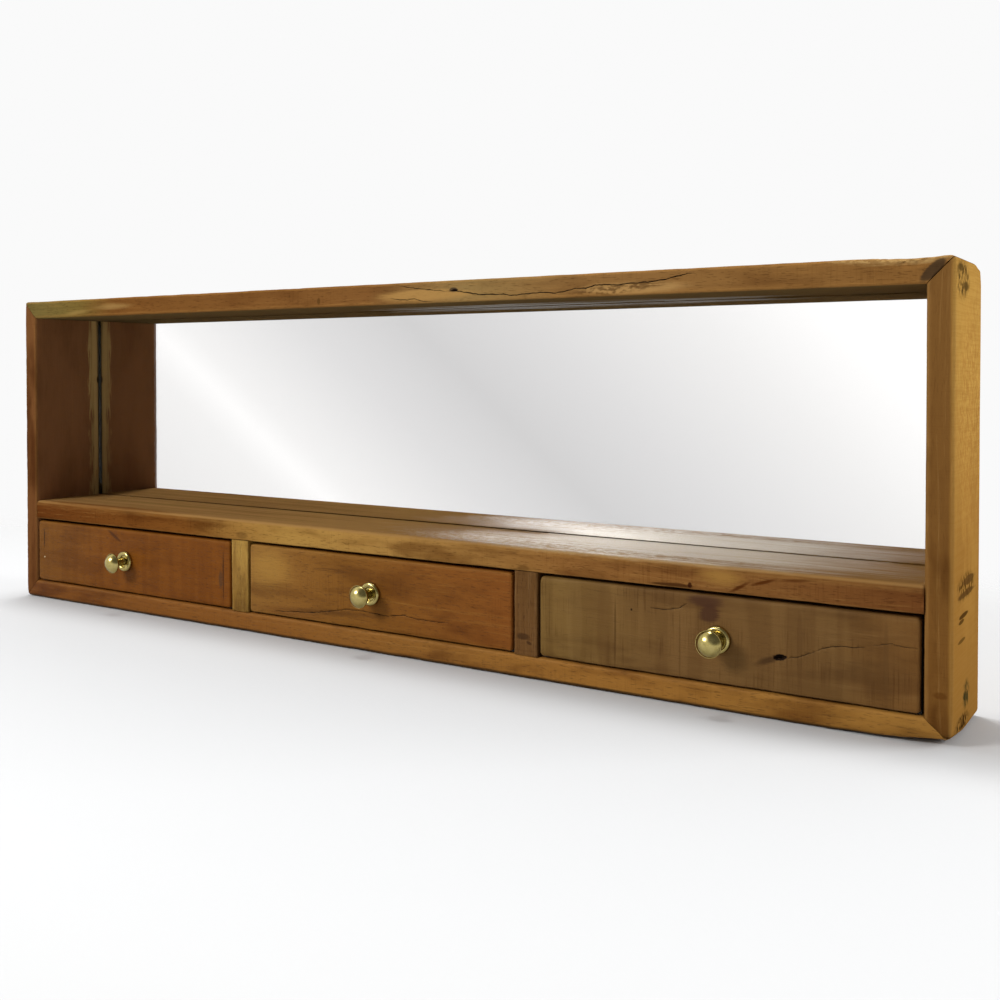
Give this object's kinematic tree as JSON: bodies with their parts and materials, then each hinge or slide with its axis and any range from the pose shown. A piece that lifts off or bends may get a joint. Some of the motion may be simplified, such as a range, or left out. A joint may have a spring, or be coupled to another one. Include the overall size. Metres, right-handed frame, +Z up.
{
  "type": "wall mirror with drawers",
  "caption": "Long wall mirror in a deep mitred wooden frame, with a shelf across its lower part and small drawers with round brass knobs under the shelf.",
  "frame": {"origin": "middle of the underside of the bottom board", "axes": "+X to the right as seen from the front, +Y to the back (the wall), +Z up"},
  "size_m": [1.2, 0.1381, 0.4],
  "materials": {
    "reclaimed_wood": "satin oil over old weathered boards",
    "plain_wood": "planed, bare",
    "plywood": "sanded, bare",
    "mirror": "float glass silvered on its rear face",
    "brass": "polished",
    "steel": "zinc plated"
  },
  "bodies": {
    "case": {"top_board": "reclaimed_wood", "bottom_board": "reclaimed_wood", "left_board": "reclaimed_wood", "right_board": "reclaimed_wood", "shelf": "reclaimed_wood", "left_divider": "reclaimed_wood", "right_divider": "reclaimed_wood", "mirror_glass": "mirror", "back_panel": "plywood", "mitre_tongues": "plain_wood", "shelf_dowels": "plain_wood", "divider_dowels": "plain_wood"},
    "left_drawer": {"left_drawer_front": "reclaimed_wood", "left_drawer_left_side": "plain_wood", "left_drawer_right_side": "plain_wood", "left_drawer_rear": "plain_wood", "left_drawer_bottom": "plywood", "left_drawer_rose": "brass", "left_drawer_knob": "brass", "left_drawer_knob_screw": "steel"},
    "middle_drawer": {"middle_drawer_front": "reclaimed_wood", "middle_drawer_left_side": "plain_wood", "middle_drawer_right_side": "plain_wood", "middle_drawer_rear": "plain_wood", "middle_drawer_bottom": "plywood", "middle_drawer_rose": "brass", "middle_drawer_knob": "brass", "middle_drawer_knob_screw": "steel"},
    "right_drawer": {"right_drawer_front": "reclaimed_wood", "right_drawer_left_side": "plain_wood", "right_drawer_right_side": "plain_wood", "right_drawer_rear": "plain_wood", "right_drawer_bottom": "plywood", "right_drawer_rose": "brass", "right_drawer_knob": "brass", "right_drawer_knob_screw": "steel"}
  },
  "joints": [
    {"name": "left_drawer_slide", "type": "slide", "parent": "case", "child": "left_drawer", "axis": [0, -1, 0], "range_m": [0, 0.075]},
    {"name": "middle_drawer_slide", "type": "slide", "parent": "case", "child": "middle_drawer", "axis": [0, -1, 0], "range_m": [0, 0.075]},
    {"name": "right_drawer_slide", "type": "slide", "parent": "case", "child": "right_drawer", "axis": [0, -1, 0], "range_m": [0, 0.075]}
  ]
}
